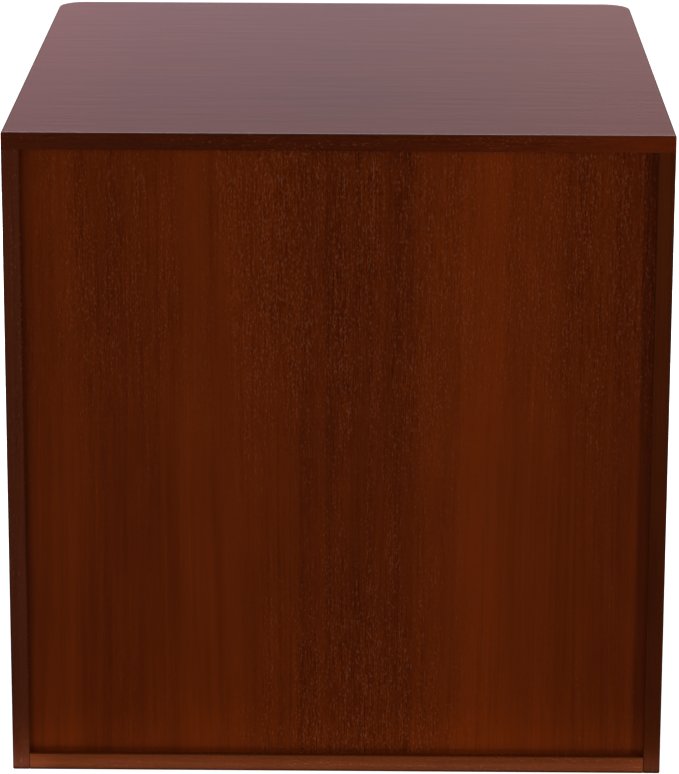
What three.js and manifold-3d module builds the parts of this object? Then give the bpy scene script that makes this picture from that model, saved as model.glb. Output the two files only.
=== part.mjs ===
// Cube storage unit: an open-fronted cube of stained hardwood boards with a recessed back panel
// and one adjustable shelf. Hidden dowels and cam fittings hold the boards together.
// Millimetres, +Z up. The origin is on the floor under the middle of the cube. The open front
// faces -Y, the back panel faces +Y, and left and right are as seen from the front.

import * as THREE from "three";
import { mergeVertices } from "three/addons/utils/BufferGeometryUtils.js";
import Module from "manifold-3d";

const wasm = await Module();
wasm.setup();

// Overall size and board thickness
const WIDTH = 457;
const DEPTH = 508;
const HEIGHT = 460;
const BOARD = 12;

// The top has rounded front corners and stands proud of the sides by this much at the front
const TOP_CORNER_RADIUS = 21;
const FRONT_OVERHANG = 22;

// Gap between faces that touch, and between a fitting and its hole
const TOUCH = 0.3;

// Back panel, held in a groove in all four boards
const BACK_RECESS = 5;
const BACK_THICKNESS = 5;
const GROOVE_DEPTH = 5;

// Dowels and cam fittings of each corner joint, by their distance from the middle of the depth
const BOLT_REACH = 190;
const DOWEL_REACH = 158;
const DOWEL_RADIUS = 2.9;
const DOWEL_LENGTH = 20;
const DOWEL_DEPTH_IN_FACE = 8;
const DOWEL_CHAMFER = 0.8;

// Cam: a drum that grips the head of its bolt. The seat is measured from the joint to its centre
const CAM_RADIUS = 5.7;
const CAM_LENGTH = 9;
const CAM_SEAT = 24;
const CAM_CHAMBER_FRONT = 1.6;
const CAM_CHAMBER_BACK = 3;
const CAM_CROSS_LENGTH = 7;
const CAM_CROSS_WIDTH = 1.3;
const CAM_CROSS_DEPTH = 1.4;

// Bolt: screwed into one board, with its head in the other board's cam
const BOLT_THREAD_RADIUS = 2.2;
const BOLT_THREAD_LENGTH = 8.8;
const BOLT_COLLAR_RADIUS = 3.1;
const BOLT_COLLAR_LENGTH = 2;
const BOLT_SHANK_RADIUS = 2.5;
const BOLT_NECK_RADIUS = 1.8;
const BOLT_HEAD_RADIUS = 3;
const BOLT_HEAD_CHAMFER = 0.7;
const BOLT_TIP_LENGTH = 1.2;
const BOLT_EDGE_BORE_RADIUS = 3.6;

// Shelf, its pins and the rows of holes that they fit
const SHELF_SETBACK = 10;
const SHELF_SIDE_GAP = 1.8;
const SHELF_BACK_GAP = 2;
const PIN_INSET = 37;
const PIN_HOLE_PITCH = 32;
const PIN_HOLES_EACH_WAY = 2;
const PIN_HEIGHT = 224;
const PIN_SHANK_RADIUS = 2.3;
const PIN_SHANK_LENGTH = 8;
const PIN_COLLAR_RADIUS = 3.8;
const PIN_COLLAR_LENGTH = 1;
const PIN_BLADE_LENGTH = 11;
const PIN_BLADE_WIDTH = 8;
const PIN_BLADE_THICKNESS = 1.6;
const PIN_BLADE_TOP = 2;
const PIN_RIB_WIDTH = 2;

const SIDES_OF_HOLE = 12;
const SIDES_OF_FITTING = 12;
const SIDES_OF_CORNER = 16;
const OVERCUT = 1;

// Faces of the cube that the boards share
const HALF_WIDTH = WIDTH / 2;
const INNER_HALF_WIDTH = HALF_WIDTH - BOARD;
const REAR = DEPTH / 2;
const FRONT = -DEPTH / 2;
const SIDE_FRONT = FRONT + FRONT_OVERHANG;
const TOP_UNDERSIDE = HEIGHT - BOARD;
const MID_SIDE = HALF_WIDTH - BOARD / 2;
const MID_BOTTOM = BOARD / 2;
const BACK_OUTER = REAR - BACK_RECESS;
const BACK_INNER = BACK_OUTER - BACK_THICKNESS;
const SHELF_UNDERSIDE = PIN_HEIGHT + PIN_BLADE_TOP + TOUCH;
const PIN_ROWS = { front: SIDE_FRONT + PIN_INSET, rear: -SIDE_FRONT - PIN_INSET };

const UP = new THREE.Vector3(0, 0, 1);
const DOWN = new THREE.Vector3(0, 0, -1);
const HANDS = { left: -1, right: 1 };
const ENDS = { front: -1, rear: 1 };

const boardWood = () => new THREE.MeshStandardMaterial({ color: 0x54200f, roughness: 0.38 });
const backWood = () => new THREE.MeshStandardMaterial({ color: 0x5c2609, roughness: 0.45 });
const beech = () => new THREE.MeshStandardMaterial({ color: 0xc49a63, roughness: 0.75 });
const zinc = () => new THREE.MeshStandardMaterial({ color: 0x8f9193, roughness: 0.5, metalness: 0.9 });
const steel = () => new THREE.MeshStandardMaterial({ color: 0xb5b3ab, roughness: 0.35, metalness: 0.95 });

// Solids

function toSolid(geometry) {
  const bare = geometry.clone();
  bare.deleteAttribute("normal");
  bare.deleteAttribute("uv");
  const merged = mergeVertices(bare);
  const mesh = new wasm.Mesh({
    numProp: 3,
    vertProperties: new Float32Array(merged.attributes.position.array),
    triVerts: new Uint32Array(merged.index.array),
  });
  return new wasm.Manifold(mesh);
}

function toGeometry(solid) {
  const mesh = solid.getMesh();
  const geometry = new THREE.BufferGeometry();
  geometry.setAttribute("position", new THREE.BufferAttribute(mesh.vertProperties, 3));
  geometry.setIndex(new THREE.BufferAttribute(mesh.triVerts, 1));
  return geometry;
}

function cut(blank, cutters) {
  return toGeometry([blank, ...cutters].map(toSolid).reduce((solid, cutter) => solid.subtract(cutter)));
}

function join(pieces) {
  return toGeometry(pieces.map(toSolid).reduce((solid, piece) => solid.add(piece)));
}

function block(low, high) {
  const size = high.map((value, axis) => value - low[axis]);
  const middle = high.map((value, axis) => (value + low[axis]) / 2);
  return new THREE.BoxGeometry(...size).translate(...middle);
}

function rod(radius, start, end, sides) {
  const along = new THREE.Vector3().subVectors(end, start);
  const turn = new THREE.Quaternion().setFromUnitVectors(
    new THREE.Vector3(0, 1, 0),
    along.clone().normalize(),
  );
  const middle = new THREE.Vector3().addVectors(start, end).multiplyScalar(0.5);
  const geometry = new THREE.CylinderGeometry(radius, radius, along.length(), sides);
  return geometry.applyQuaternion(turn).translate(middle.x, middle.y, middle.z);
}

// A hole of that depth, entered at its mouth and cut a little past the mouth
function bore(radius, mouth, inward, depth) {
  const start = mouth.clone().addScaledVector(inward, -OVERCUT);
  const end = mouth.clone().addScaledVector(inward, depth);
  return rod(radius, start, end, SIDES_OF_HOLE);
}

// A board, given in the cube's own coordinates, becomes a mesh placed at the board's middle
function board(name, material, geometry) {
  geometry.computeBoundingBox();
  const middle = geometry.boundingBox.getCenter(new THREE.Vector3());
  const mesh = new THREE.Mesh(geometry.translate(-middle.x, -middle.y, -middle.z), material);
  mesh.position.copy(middle);
  mesh.name = name;
  return mesh;
}

// A fitting keeps its own axes: it is turned so that its X and Z point along the two directions
function fitting(name, material, geometry, position, alongX, alongZ) {
  const mesh = new THREE.Mesh(geometry, material);
  const alongY = new THREE.Vector3().crossVectors(alongZ, alongX);
  mesh.quaternion.setFromRotationMatrix(new THREE.Matrix4().makeBasis(alongX, alongY, alongZ));
  mesh.position.copy(position);
  mesh.name = name;
  return mesh;
}

// Holes that the joints need

const boltDepthInFace = BOLT_THREAD_LENGTH + TOUCH;
const dowelDepthInFace = DOWEL_DEPTH_IN_FACE + TOUCH;
const dowelDepthInEdge = DOWEL_LENGTH - DOWEL_DEPTH_IN_FACE + TOUCH;

// The face side of a joint takes a bolt's thread and a dowel's short end, at each end of it
function faceHoles(x, z, inward) {
  return Object.values(ENDS).flatMap((end) => [
    bore(BOLT_THREAD_RADIUS + TOUCH, new THREE.Vector3(x, end * BOLT_REACH, z), inward, boltDepthInFace),
    bore(DOWEL_RADIUS + TOUCH, new THREE.Vector3(x, end * DOWEL_REACH, z), inward, dowelDepthInFace),
  ]);
}

// The edge side takes the bolt's shank and the dowel's long end
function edgeHoles(x, z, inward) {
  return Object.values(ENDS).flatMap((end) => [
    bore(BOLT_EDGE_BORE_RADIUS, new THREE.Vector3(x, end * BOLT_REACH, z), inward, CAM_SEAT),
    bore(DOWEL_RADIUS + TOUCH, new THREE.Vector3(x, end * DOWEL_REACH, z), inward, dowelDepthInEdge),
  ]);
}

function camHoles(x, z, inward) {
  return Object.values(ENDS).map((end) =>
    bore(CAM_RADIUS + TOUCH, new THREE.Vector3(x, end * BOLT_REACH, z), inward, CAM_LENGTH + 2 * TOUCH),
  );
}

function groove(lowX, highX, lowZ, highZ) {
  return block([lowX, BACK_INNER - TOUCH, lowZ], [highX, BACK_OUTER + TOUCH, highZ]);
}

// Boards

function topPanel() {
  const outline = new THREE.Shape();
  outline.moveTo(-HALF_WIDTH, REAR);
  outline.lineTo(-HALF_WIDTH, FRONT + TOP_CORNER_RADIUS);
  outline.absarc(
    -HALF_WIDTH + TOP_CORNER_RADIUS, FRONT + TOP_CORNER_RADIUS, TOP_CORNER_RADIUS, Math.PI, 1.5 * Math.PI,
  );
  outline.absarc(
    HALF_WIDTH - TOP_CORNER_RADIUS, FRONT + TOP_CORNER_RADIUS, TOP_CORNER_RADIUS, 1.5 * Math.PI, 2 * Math.PI,
  );
  outline.lineTo(HALF_WIDTH, REAR);
  outline.closePath();
  const blank = new THREE.ExtrudeGeometry(outline, {
    depth: BOARD,
    bevelEnabled: false,
    curveSegments: SIDES_OF_CORNER,
  }).translate(0, 0, TOP_UNDERSIDE);
  const grooveEnd = INNER_HALF_WIDTH + GROOVE_DEPTH;
  const cutters = [
    groove(-grooveEnd, grooveEnd, TOP_UNDERSIDE - OVERCUT, TOP_UNDERSIDE + GROOVE_DEPTH),
    ...Object.values(HANDS).flatMap((hand) => faceHoles(hand * MID_SIDE, TOP_UNDERSIDE, UP)),
  ];
  return board("top_panel", boardWood(), cut(blank, cutters));
}

function bottomPanel() {
  const end = INNER_HALF_WIDTH - TOUCH;
  const blank = block([-end, SIDE_FRONT, 0], [end, REAR, BOARD]);
  const cutters = [
    groove(-end - OVERCUT, end + OVERCUT, BOARD - GROOVE_DEPTH, BOARD + OVERCUT),
    ...Object.values(HANDS).flatMap((hand) => [
      ...edgeHoles(hand * end, MID_BOTTOM, new THREE.Vector3(-hand, 0, 0)),
      ...camHoles(hand * (INNER_HALF_WIDTH - CAM_SEAT), 0, UP),
    ]),
  ];
  return board("bottom_panel", boardWood(), cut(blank, cutters));
}

function pinHoles(hand) {
  const outward = new THREE.Vector3(hand, 0, 0);
  const holes = [];
  for (const y of Object.values(PIN_ROWS)) {
    for (let step = -PIN_HOLES_EACH_WAY; step <= PIN_HOLES_EACH_WAY; step += 1) {
      const mouth = new THREE.Vector3(hand * INNER_HALF_WIDTH, y, PIN_HEIGHT + step * PIN_HOLE_PITCH);
      holes.push(bore(PIN_SHANK_RADIUS + TOUCH, mouth, outward, PIN_SHANK_LENGTH + TOUCH));
    }
  }
  return holes;
}

function sidePanel(name, hand) {
  const outer = hand * HALF_WIDTH;
  const inner = hand * INNER_HALF_WIDTH;
  const outward = new THREE.Vector3(hand, 0, 0);
  const top = TOP_UNDERSIDE - TOUCH;
  const blank = block([Math.min(outer, inner), SIDE_FRONT, 0], [Math.max(outer, inner), REAR, top]);
  const grooveWalls = [inner - hand * OVERCUT, inner + hand * GROOVE_DEPTH].sort((a, b) => a - b);
  const cutters = [
    groove(...grooveWalls, -OVERCUT, top + OVERCUT),
    ...edgeHoles(hand * MID_SIDE, top, DOWN),
    ...camHoles(inner, TOP_UNDERSIDE - CAM_SEAT, outward),
    ...faceHoles(inner, MID_BOTTOM, outward),
    ...pinHoles(hand),
  ];
  return board(`${name}_side_panel`, boardWood(), cut(blank, cutters));
}

function backPanel() {
  const reach = GROOVE_DEPTH - TOUCH;
  const low = [-INNER_HALF_WIDTH - reach, BACK_INNER, BOARD - reach];
  const high = [INNER_HALF_WIDTH + reach, BACK_OUTER, TOP_UNDERSIDE + reach];
  return board("back_panel", backWood(), block(low, high));
}

function shelf() {
  const end = INNER_HALF_WIDTH - SHELF_SIDE_GAP;
  const low = [-end, SIDE_FRONT + SHELF_SETBACK, SHELF_UNDERSIDE];
  const high = [end, BACK_INNER - SHELF_BACK_GAP, SHELF_UNDERSIDE + BOARD];
  return board("adjustable_shelf", boardWood(), block(low, high));
}

// Fittings

function latheAboutZ(profile) {
  const points = profile.map(([radius, height]) => new THREE.Vector2(radius, height));
  return new THREE.LatheGeometry(points, SIDES_OF_FITTING).rotateX(Math.PI / 2);
}

// The joint's face is at Z 0. The thread points up Z, and the head hangs below in the cam
function boltGeometry() {
  const headTop = -CAM_SEAT + CAM_CHAMBER_FRONT - TOUCH;
  const headBottom = -CAM_SEAT - CAM_CHAMBER_BACK + TOUCH;
  const neckTop = -CAM_SEAT + CAM_RADIUS + 1;
  return latheAboutZ([
    [0, headBottom],
    [BOLT_HEAD_RADIUS - BOLT_HEAD_CHAMFER, headBottom],
    [BOLT_HEAD_RADIUS, headBottom + BOLT_HEAD_CHAMFER],
    [BOLT_HEAD_RADIUS, headTop - BOLT_HEAD_CHAMFER],
    [BOLT_NECK_RADIUS, headTop],
    [BOLT_NECK_RADIUS, neckTop],
    [BOLT_SHANK_RADIUS, neckTop + 1],
    [BOLT_SHANK_RADIUS, -BOLT_COLLAR_LENGTH],
    [BOLT_COLLAR_RADIUS, -BOLT_COLLAR_LENGTH],
    [BOLT_COLLAR_RADIUS, -TOUCH],
    [BOLT_THREAD_RADIUS, -TOUCH],
    [BOLT_THREAD_RADIUS, BOLT_THREAD_LENGTH - BOLT_TIP_LENGTH],
    [0, BOLT_THREAD_LENGTH],
  ]);
}

function dowelGeometry() {
  const low = DOWEL_DEPTH_IN_FACE - DOWEL_LENGTH;
  return latheAboutZ([
    [0, low],
    [DOWEL_RADIUS - DOWEL_CHAMFER, low],
    [DOWEL_RADIUS, low + DOWEL_CHAMFER],
    [DOWEL_RADIUS, DOWEL_DEPTH_IN_FACE - DOWEL_CHAMFER],
    [DOWEL_RADIUS - DOWEL_CHAMFER, DOWEL_DEPTH_IN_FACE],
    [0, DOWEL_DEPTH_IN_FACE],
  ]);
}

// The cam's screwdriver face is at Z 0 and its drum runs down from it. Its bolt comes in along X
function camGeometry() {
  const boltDepth = BOARD / 2 - TOUCH;
  const headRoom = BOLT_HEAD_RADIUS + 2 * TOUCH;
  const neckRoom = BOLT_NECK_RADIUS + 2 * TOUCH;
  const floor = -CAM_LENGTH - OVERCUT;
  const drum = rod(
    CAM_RADIUS, new THREE.Vector3(0, 0, -CAM_LENGTH), new THREE.Vector3(0, 0, 0), SIDES_OF_FITTING,
  );
  const chamber = block(
    [-CAM_CHAMBER_BACK, -headRoom, floor],
    [CAM_CHAMBER_FRONT, headRoom, headRoom - boltDepth],
  );
  const neckSlot = block([0, -neckRoom, floor], [CAM_RADIUS + OVERCUT, neckRoom, neckRoom - boltDepth]);
  const half = CAM_CROSS_LENGTH / 2;
  const narrow = CAM_CROSS_WIDTH / 2;
  const crossbar = block([-half, -narrow, -CAM_CROSS_DEPTH], [half, narrow, OVERCUT]);
  const upright = block([-narrow, -half, -CAM_CROSS_DEPTH], [narrow, half, OVERCUT]);
  return cut(drum, [chamber, neckSlot, crossbar, upright]);
}

// The side panel's face is at X 0. The shank goes into it along -X, and the blade carries the shelf
function pinGeometry() {
  const at = (x) => new THREE.Vector3(x, 0, 0);
  const shank = rod(PIN_SHANK_RADIUS, at(-PIN_SHANK_LENGTH), at(TOUCH + PIN_COLLAR_LENGTH), SIDES_OF_FITTING);
  const collar = rod(PIN_COLLAR_RADIUS, at(TOUCH), at(TOUCH + PIN_COLLAR_LENGTH), SIDES_OF_FITTING);
  const bladeStart = TOUCH + PIN_COLLAR_LENGTH / 2;
  const blade = block(
    [bladeStart, -PIN_BLADE_WIDTH / 2, PIN_BLADE_TOP - PIN_BLADE_THICKNESS],
    [PIN_BLADE_LENGTH, PIN_BLADE_WIDTH / 2, PIN_BLADE_TOP],
  );
  const ribOutline = new THREE.Shape([
    new THREE.Vector2(bladeStart, PIN_BLADE_TOP - PIN_BLADE_THICKNESS / 2),
    new THREE.Vector2(bladeStart, -PIN_SHANK_RADIUS),
    new THREE.Vector2(PIN_BLADE_LENGTH - 1, PIN_BLADE_TOP - PIN_BLADE_THICKNESS / 2),
  ]);
  const rib = new THREE.ExtrudeGeometry(ribOutline, { depth: PIN_RIB_WIDTH, bevelEnabled: false })
    .translate(0, 0, -PIN_RIB_WIDTH / 2)
    .rotateX(Math.PI / 2);
  return join([shank, collar, blade, rib]);
}

function shelfPin(handName, rowName) {
  const inward = new THREE.Vector3(-HANDS[handName], 0, 0);
  const mouth = new THREE.Vector3(HANDS[handName] * INNER_HALF_WIDTH, PIN_ROWS[rowName], PIN_HEIGHT);
  return fitting(`shelf_pin_${handName}_${rowName}`, steel(), pinGeometry(), mouth, inward, UP);
}

// The cam, bolt and dowel of one joint at one end. The joint's plane is at x and z, the thread and
// the dowel's short end point intoFace, and the cam's screwdriver face is at camX and camZ
function jointFittings({ name, end, x, z, intoFace, camX, camZ, camLooks }) {
  const along = new THREE.Vector3(0, 1, 0);
  const boltPoint = new THREE.Vector3(x, end * BOLT_REACH, z);
  const dowelPoint = new THREE.Vector3(x, end * DOWEL_REACH, z);
  const camPoint = new THREE.Vector3(camX, end * BOLT_REACH, camZ);
  return [
    fitting(`cam_${name}`, zinc(), camGeometry(), camPoint, intoFace, camLooks),
    fitting(`cam_bolt_${name}`, steel(), boltGeometry(), boltPoint, along, intoFace),
    fitting(`dowel_${name}`, beech(), dowelGeometry(), dowelPoint, along, intoFace),
  ];
}

function topJoint(handName, endName) {
  const hand = HANDS[handName];
  return jointFittings({
    name: `top_${handName}_${endName}`,
    end: ENDS[endName],
    x: hand * MID_SIDE,
    z: TOP_UNDERSIDE,
    intoFace: UP,
    camX: hand * (INNER_HALF_WIDTH + TOUCH),
    camZ: TOP_UNDERSIDE - CAM_SEAT,
    camLooks: new THREE.Vector3(-hand, 0, 0),
  });
}

function bottomJoint(handName, endName) {
  const hand = HANDS[handName];
  return jointFittings({
    name: `bottom_${handName}_${endName}`,
    end: ENDS[endName],
    x: hand * INNER_HALF_WIDTH,
    z: MID_BOTTOM,
    intoFace: new THREE.Vector3(hand, 0, 0),
    camX: hand * (INNER_HALF_WIDTH - CAM_SEAT),
    camZ: TOUCH,
    camLooks: DOWN,
  });
}

const carcass = new THREE.Group();
carcass.add(topPanel(), bottomPanel(), backPanel());
for (const [name, hand] of Object.entries(HANDS)) {
  carcass.add(sidePanel(name, hand));
  for (const endName of Object.keys(ENDS)) {
    carcass.add(...topJoint(name, endName), ...bottomJoint(name, endName), shelfPin(name, endName));
  }
}

const group = new THREE.Group();
group.add(carcass, shelf());

export default group;
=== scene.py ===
# The looks of a cube storage unit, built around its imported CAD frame. Metres, +Z up.
# The open front faces -Y. The recessed back panel faces +Y, and so does the main view.
import math

import bmesh
import bpy
from mathutils import Matrix, Vector


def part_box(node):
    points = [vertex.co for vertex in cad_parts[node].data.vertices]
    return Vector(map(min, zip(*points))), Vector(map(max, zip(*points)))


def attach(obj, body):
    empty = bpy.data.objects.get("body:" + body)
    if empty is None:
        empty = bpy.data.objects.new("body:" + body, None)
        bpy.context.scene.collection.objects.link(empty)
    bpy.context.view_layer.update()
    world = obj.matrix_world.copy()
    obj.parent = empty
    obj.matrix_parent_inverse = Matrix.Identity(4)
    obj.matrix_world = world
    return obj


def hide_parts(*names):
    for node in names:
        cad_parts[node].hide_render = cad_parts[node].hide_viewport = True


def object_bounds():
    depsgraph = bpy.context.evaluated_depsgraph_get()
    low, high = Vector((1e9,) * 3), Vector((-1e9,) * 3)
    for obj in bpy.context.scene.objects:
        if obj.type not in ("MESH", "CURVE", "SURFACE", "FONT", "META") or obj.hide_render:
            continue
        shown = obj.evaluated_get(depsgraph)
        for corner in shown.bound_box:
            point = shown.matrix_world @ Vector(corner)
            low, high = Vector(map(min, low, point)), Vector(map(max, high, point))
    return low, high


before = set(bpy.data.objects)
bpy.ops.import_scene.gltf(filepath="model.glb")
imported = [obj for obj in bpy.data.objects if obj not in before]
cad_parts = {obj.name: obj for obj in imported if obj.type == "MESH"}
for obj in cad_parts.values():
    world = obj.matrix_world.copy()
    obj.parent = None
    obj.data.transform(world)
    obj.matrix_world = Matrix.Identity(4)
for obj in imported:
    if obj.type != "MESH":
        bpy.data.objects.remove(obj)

MM = 0.001
CAD_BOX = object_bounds()

# Boards: ARRIS is the rounding of outer edges, INNER_ARRIS that of the edges round the openings
# and at the floor, and JOINT_ARRIS that of edges at a joint
ARRIS = 1.6 * MM
INNER_ARRIS = 0.8 * MM
JOINT_ARRIS = 0.12 * MM
ARRIS_STEPS = 4
CREASE_ANGLE = math.radians(32)
TOP_CORNER_RADIUS = 21 * MM
TOP_CORNER_STEPS = 20

# Joints and holes: TOUCH is the CAD model's gap between pieces, JOINT_GAP the hairline at a joint
TOUCH = 0.3 * MM
JOINT_GAP = 0.04 * MM
OVERCUT = 1 * MM
HOLE_FLARE = 0.35 * MM
HOLE_SIDES = 32
PIN_HOLE_PITCH = 32 * MM
PIN_HOLE_STEPS = (-2, -1, 0, 1, 2)

# Cams and their bolts
CAM_SEAT = 24 * MM
CAM_RIM = 0.4 * MM
CAM_LIP = 0.9 * MM
CAM_DISH = 0.25 * MM
CAM_DISH_SLOPE = 0.3 * MM
CAM_SIDES = 48
CAM_CROSS_LENGTH = 7 * MM
CAM_CROSS_WIDTH = 1.3 * MM
CAM_CROSS_DEPTH = 1.4 * MM
CAM_CHAMBER = (-3 * MM, 1.6 * MM)
BOLT_THREAD_RADIUS = 2.2 * MM
BOLT_THREAD_LENGTH = 8.8 * MM
BOLT_THREAD_PITCH = 1.9 * MM
BOLT_THREAD_HEIGHT = 0.55 * MM
BOLT_THREAD_HALF_WIDTH = 0.28
BOLT_THREAD_START = 0.3 * MM
BOLT_THREAD_FADE = 0.8 * MM
BOLT_THREAD_STEPS = 56
BOLT_TIP_LENGTH = 1.4 * MM
BOLT_TIP_FLAT = 0.2 * MM
BOLT_TIP_SHARE = 0.25
BOLT_COLLAR_RADIUS = 3.1 * MM
BOLT_COLLAR_LENGTH = 2 * MM
BOLT_COLLAR_RIM = 0.3 * MM
BOLT_SHANK_RADIUS = 2.5 * MM
BOLT_SHOULDER_LENGTH = 1 * MM
BOLT_NECK_RADIUS = 1.8 * MM
BOLT_NECK_LENGTH = 3.5 * MM
BOLT_HEAD_RADIUS = 3 * MM
BOLT_HEAD_LENGTH = 4 * MM
BOLT_HEAD_RIM = 0.6 * MM
BOLT_SIDES = 24
BOLT_EDGE_BORE_RADIUS = 3.6 * MM

# Dowels
DOWEL_RADIUS = 2.9 * MM
DOWEL_DEPTH_IN_FACE = 8 * MM
DOWEL_RIM = 0.8 * MM
DOWEL_FLUTES = 18
DOWEL_FLUTE_DEPTH = 0.22 * MM

# Shelf pins
PIN_SHANK_RADIUS = 2.3 * MM
PIN_SHANK_LENGTH = 8 * MM
PIN_TIP_RADIUS = 1.7 * MM
PIN_TIP_LENGTH = 0.9 * MM
PIN_COLLAR_RADIUS = 3.8 * MM
PIN_COLLAR_LENGTH = 1 * MM
PIN_COLLAR_RIM = 0.3 * MM
PIN_SIDES = 40
PIN_BLADE_LENGTH = 11 * MM
PIN_BLADE_WIDTH = 8 * MM
PIN_BLADE_THICKNESS = 1.6 * MM
PIN_BLADE_TOP = 2 * MM
PIN_BLADE_CORNER = 2 * MM
PIN_BLADE_CORNER_STEPS = 8
PIN_RIB_WIDTH = 2 * MM
PIN_RIB_SETBACK = 1 * MM
PIN_SOFTENING = 0.18 * MM

# Steps in the rounding of a fitting's rim
RIM_STEPS = 4

# The values that noise runs between, and those of noise without fine detail
NOISE_RANGE = (0.2, 0.8)
BAND_RANGE = (0.25, 0.75)

# Wood, as noise drawn out along the fibres: (length, width, detail, roughness)
BANDS = (1.2, 26 * MM, 1.0, 0.5)
STREAKS = (0.6, 6 * MM, 2.0, 0.6)
CLOUDS = (60 * MM, 24 * MM, 1.0, 0.5)
GRAIN_LINES = (130 * MM, 2 * MM, 2.0, 0.6)
PORE_PATCHES = (140 * MM, 11 * MM, 2.0, 0.5)
PORE_ROWS = (14 * MM, 1.15 * MM, 1.0, 0.5)
PORE_DASHES = (2.6 * MM, 1.1 * MM, 1.0, 0.5)
FILM_RIDGES = (70 * MM, 9 * MM, 1.0, 0.4)

# How far they move the stain's tone, which is 0 at its dark end and 1 at its light end
BAND_REACH = 0.16
STREAK_REACH = 0.17
CLOUD_REACH = 0.10
GRAIN_LINE_REACH = 0.16
PORE_ROW_REACH = 0.40

# How far fibres drift sideways along a board, and the scale of that drift along and across it
WANDER = 7 * MM
WANDER_SCALE = (1.6, 7, 7)

# How far apart two boards lie in the tree, for seeds that are 1 apart
SEED_STEP = (3.1, 1.7, 2.3)

# Pores: how much of a fleck or slit's colour shows, what a fleck's painted sheen, a neutral highlight, adds
# to the light stain and what a slit leaves of the dark stain
PORE_COVER = 0.4
PORE_PAINTED_SHEEN = (0.024, 0.048, 0.036)
SLIT_TINT = (0.60, 0.0, 0.0)

# Where the noise of the pores turns into flecks and slits, and where that of their patches is
# closed and open, with how strongly the pores show there
FLECKS_FROM, FLECKS_TO = 0.54, 0.67
SLITS_FROM, SLITS_TO = 0.46, 0.33
PATCH_CLOSED, PATCH_OPEN = 0.34, 0.64
CLOSED_PORES, OPEN_PORES = 0.5, 1.25

# The back's pores show least at this share of the height, and fully this far from it
PORE_DIP_HEIGHT = 0.42
PORE_DIP_REACH = 0.35
DIP_PORES, FULL_PORES = 0.55, 1.1

# How strongly the pores of the top show on its face and on its rear edge
TOP_FACE_PORES, TOP_EDGE_PORES = 0.3, 2.2

# Arrises: what their painted shade leaves of the dark stain, and how much of it shows
ARRIS_SHADE_TINT = 0.3
ARRIS_SHADE_COVER = 0.2

# Relief in millimetres, for a bump whose unit is one millimetre. FLECK_DEPTH is a share of a slit's
GRAIN_RELIEF = 0.015
PORE_RELIEF = 0.03
FLECK_DEPTH = 0.3

# How much the lacquer's roughness varies along the grain, and what a fleck adds to it
SHINE_REACH = 0.03
FLECK_ROUGHNESS = 0.1

# Camera
CAMERA_PLACE = Vector((-0.0234, 2.7236, 0.9849))
CAMERA_YAW = math.radians(0.513)
CAMERA_PITCH = math.radians(14.852)
CAMERA_ROLL = math.radians(-0.206)
CAMERA_LENS = 173.76
CAMERA_SHIFT_UP = -0.0866

# Room: the colours of its walls as lights, and the floor
WALL_LEFT = (1.22, 0.92, 0.96, 1)
WALL_RIGHT = (1.20, 0.93, 1.13, 1)
WALL_SIDES = (0.20, 0.18, 0.20, 1)
WALL_TOP = (0.05, 0.045, 0.055, 1)
OTHER_WALLS = (0.006, 0.006, 0.006, 1)
CEILING = (0.25, 0.25, 0.25, 1)
FLOOR_DARK = (0.80, 0.80, 0.80, 1)
FLOOR_LIGHT = (0.84, 0.84, 0.84, 1)
FLOOR_GLOW = 0.9
FLOOR_RADIUS = 14

HANDS = {"left": -1, "right": 1}
ENDS = ("front", "rear")

# The number of the axis that the fittings of a joint lie along
JOINT_AXES = {"top": 2, "bottom": 0}


# Meshes

def facing(place, along_z, along_x):
    """The matrix that puts a shape made round its own Z at place, with its Z and X in those directions."""
    z = Vector(along_z).normalized()
    x = Vector(along_x).normalized()
    turn = Matrix((x, z.cross(x), z)).transposed().to_4x4()
    return Matrix.Translation(place) @ turn


def add_block(bm, low, high):
    """A block between two opposite corners. Returns its vertices."""
    corners = bmesh.ops.create_cube(bm, size=1)["verts"]
    size = Vector(high) - Vector(low)
    middle = (Vector(high) + Vector(low)) / 2
    bmesh.ops.transform(bm, matrix=Matrix.Translation(middle) @ Matrix.Diagonal((*size, 1)), verts=corners)
    return corners


def add_turned(bm, profile, sides, place=Matrix.Identity(4), shape=None):
    """A closed solid turned round Z. profile runs from axis to axis as (radius, height), bottom to top,
    and shape(angle, radius, height) may change the radius at a point."""
    rings = []
    for radius, height in profile:
        if radius == 0:
            rings.append([bm.verts.new(place @ Vector((0, 0, height)))])
            continue
        ring = []
        for side in range(sides):
            angle = math.tau * side / sides
            here = shape(angle, radius, height) if shape else radius
            point = Vector((here * math.cos(angle), here * math.sin(angle), height))
            ring.append(bm.verts.new(place @ point))
        rings.append(ring)
    for lower, upper in zip(rings, rings[1:]):
        for side in range(sides):
            after = (side + 1) % sides
            if len(lower) == 1:
                bm.faces.new((lower[0], upper[after], upper[side]))
            elif len(upper) == 1:
                bm.faces.new((lower[side], lower[after], upper[0]))
            else:
                bm.faces.new((lower[side], lower[after], upper[after], upper[side]))


def add_prism(bm, outline, low, high, place=Matrix.Identity(4)):
    """A closed prism: the outline, as (x, y) points counterclockwise, from height low to height high."""
    bottom = [bm.verts.new(place @ Vector((x, y, low))) for x, y in outline]
    top = [bm.verts.new(place @ Vector((x, y, high))) for x, y in outline]
    bm.faces.new(list(reversed(bottom)))
    bm.faces.new(top)
    for at in range(len(outline)):
        after = (at + 1) % len(outline)
        bm.faces.new((bottom[at], bottom[after], top[after], top[at]))


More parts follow.
